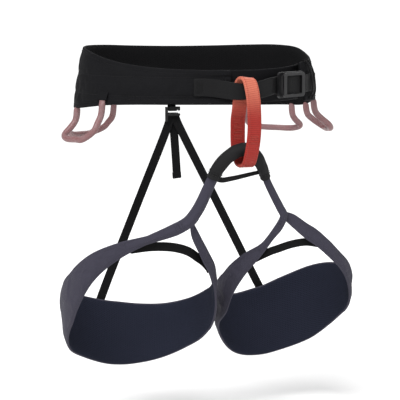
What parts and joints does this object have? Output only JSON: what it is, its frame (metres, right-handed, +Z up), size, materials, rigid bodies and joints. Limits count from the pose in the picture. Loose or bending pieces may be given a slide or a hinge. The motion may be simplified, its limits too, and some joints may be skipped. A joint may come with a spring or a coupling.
{
  "type": "climbing harness",
  "caption": "Sit harness: padded waist belt with buckle, belay loop, linked padded leg loops, elastic risers at the back and gear loops along the belt.",
  "frame": {"origin": "centre of the waist opening, level with the middle of the belt", "axes": "+Z up, -Y the wearer's front, +X the wearer's left"},
  "size_m": [0.3635, 0.2538, 0.3951],
  "materials": {
    "belt_fabric": "tight plain-woven nylon, slightly glossy",
    "belt_mesh": "soft perforated spacer mesh",
    "foam": "thin padding between shell and lining",
    "black_webbing": "ribbed nylon webbing",
    "black_elastic": "woven elastic tape",
    "red_webbing": "thick sewn webbing, fine cross ribs",
    "buckle_aluminium": "black anodised",
    "sheath_fabric": "smooth protective sleeve",
    "leg_fabric": "slate purple woven nylon",
    "leg_mesh": "navy mesh lining",
    "gear_tube": "translucent mauve plastic tube",
    "hook_plastic": "moulded black plastic"
  },
  "bodies": {
    "waist": {"belt_shell": "belt_fabric", "waist_webbing": "black_webbing", "belt_foam": "foam", "belt_lining": "belt_mesh", "belt_tongue": "belt_fabric", "buckle_frame": "buckle_aluminium", "tie_in_webbing": "black_webbing", "buckle_anchor_webbing": "black_webbing", "strap_keeper_front": "black_elastic", "strap_keeper_rear": "black_elastic", "tie_in_sheath": "sheath_fabric", "bridge_webbing": "black_webbing", "cross_strap": "black_webbing", "riser_hook": "hook_plastic", "riser_hanger_loop": "black_webbing", "riser_yoke": "black_elastic", "riser_tail": "black_elastic", "gear_loop_patch": "black_webbing"},
    "belay_loop": {"belay_loop": "red_webbing"},
    "slider": {"buckle_slider": "buckle_aluminium"},
    "right_leg": {"right_leg_shell": "leg_fabric", "right_leg_foam": "foam", "right_leg_lining": "leg_mesh", "right_leg_front_strap": "leg_fabric", "right_leg_elastic": "black_elastic", "right_riser_tab": "black_webbing", "right_riser": "black_elastic"},
    "left_leg": {"left_leg_shell": "leg_fabric", "left_leg_foam": "foam", "left_leg_lining": "leg_mesh", "left_leg_front_strap": "leg_fabric", "left_leg_elastic": "black_elastic", "left_riser_tab": "black_webbing", "left_riser": "black_elastic"},
    "gear_right_front": {"gear_loop_right_front": "gear_tube"},
    "gear_right_rear": {"gear_loop_right_rear": "gear_tube"},
    "gear_left_rear": {"gear_loop_left_rear": "gear_tube"},
    "gear_left_front": {"gear_loop_left_front": "gear_tube"}
  },
  "joints": [
    {"name": "belay_loop_swing", "type": "hinge", "parent": "waist", "child": "belay_loop", "pos_m": [0.003, -0.118, 0], "axis": [0, 0, 1], "range_deg": [-10, 6]},
    {"name": "slider_tilt", "type": "hinge", "parent": "waist", "child": "slider", "pos_m": [0.07993, -0.1055, 0], "axis": [0, 0, 1], "range_deg": [0, 35]},
    {"name": "right_leg_swing", "type": "hinge", "parent": "waist", "child": "right_leg", "pos_m": [0, -0.101, -0.1065], "axis": [1, 0, 0], "range_deg": [-35, 12], "stiffness_Nm_per_rad": 1.5, "springref_deg": 2.29, "deforming": ["right_riser"]},
    {"name": "left_leg_swing", "type": "hinge", "parent": "waist", "child": "left_leg", "pos_m": [0, -0.101, -0.1065], "axis": [1, 0, 0], "range_deg": [-35, 12], "stiffness_Nm_per_rad": 1.5, "springref_deg": 2.29, "deforming": ["left_riser"]},
    {"name": "gear_loop_right_front_flex", "type": "hinge", "parent": "waist", "child": "gear_right_front", "pos_m": [-0.15087, -0.0205, -0.02107], "axis": [-0.084, 0.9741, -0.21], "range_deg": [-30, 20], "stiffness_Nm_per_rad": 0.08},
    {"name": "gear_loop_right_rear_flex", "type": "hinge", "parent": "waist", "child": "gear_right_rear", "pos_m": [-0.11243, 0.06911, -0.03254], "axis": [0.773, 0.6303, -0.0724], "range_deg": [-30, 10], "stiffness_Nm_per_rad": 0.08},
    {"name": "gear_loop_left_rear_flex", "type": "hinge", "parent": "waist", "child": "gear_left_rear", "pos_m": [0.10729, 0.05788, -0.03841], "axis": [0.5626, -0.8255, 0.0451], "range_deg": [-45, 10], "stiffness_Nm_per_rad": 0.08},
    {"name": "gear_loop_left_front_flex", "type": "hinge", "parent": "waist", "child": "gear_left_front", "pos_m": [0.12426, -0.02715, -0.02871], "axis": [-0.2295, -0.9557, 0.1845], "range_deg": [-30, 10], "stiffness_Nm_per_rad": 0.08}
  ]
}
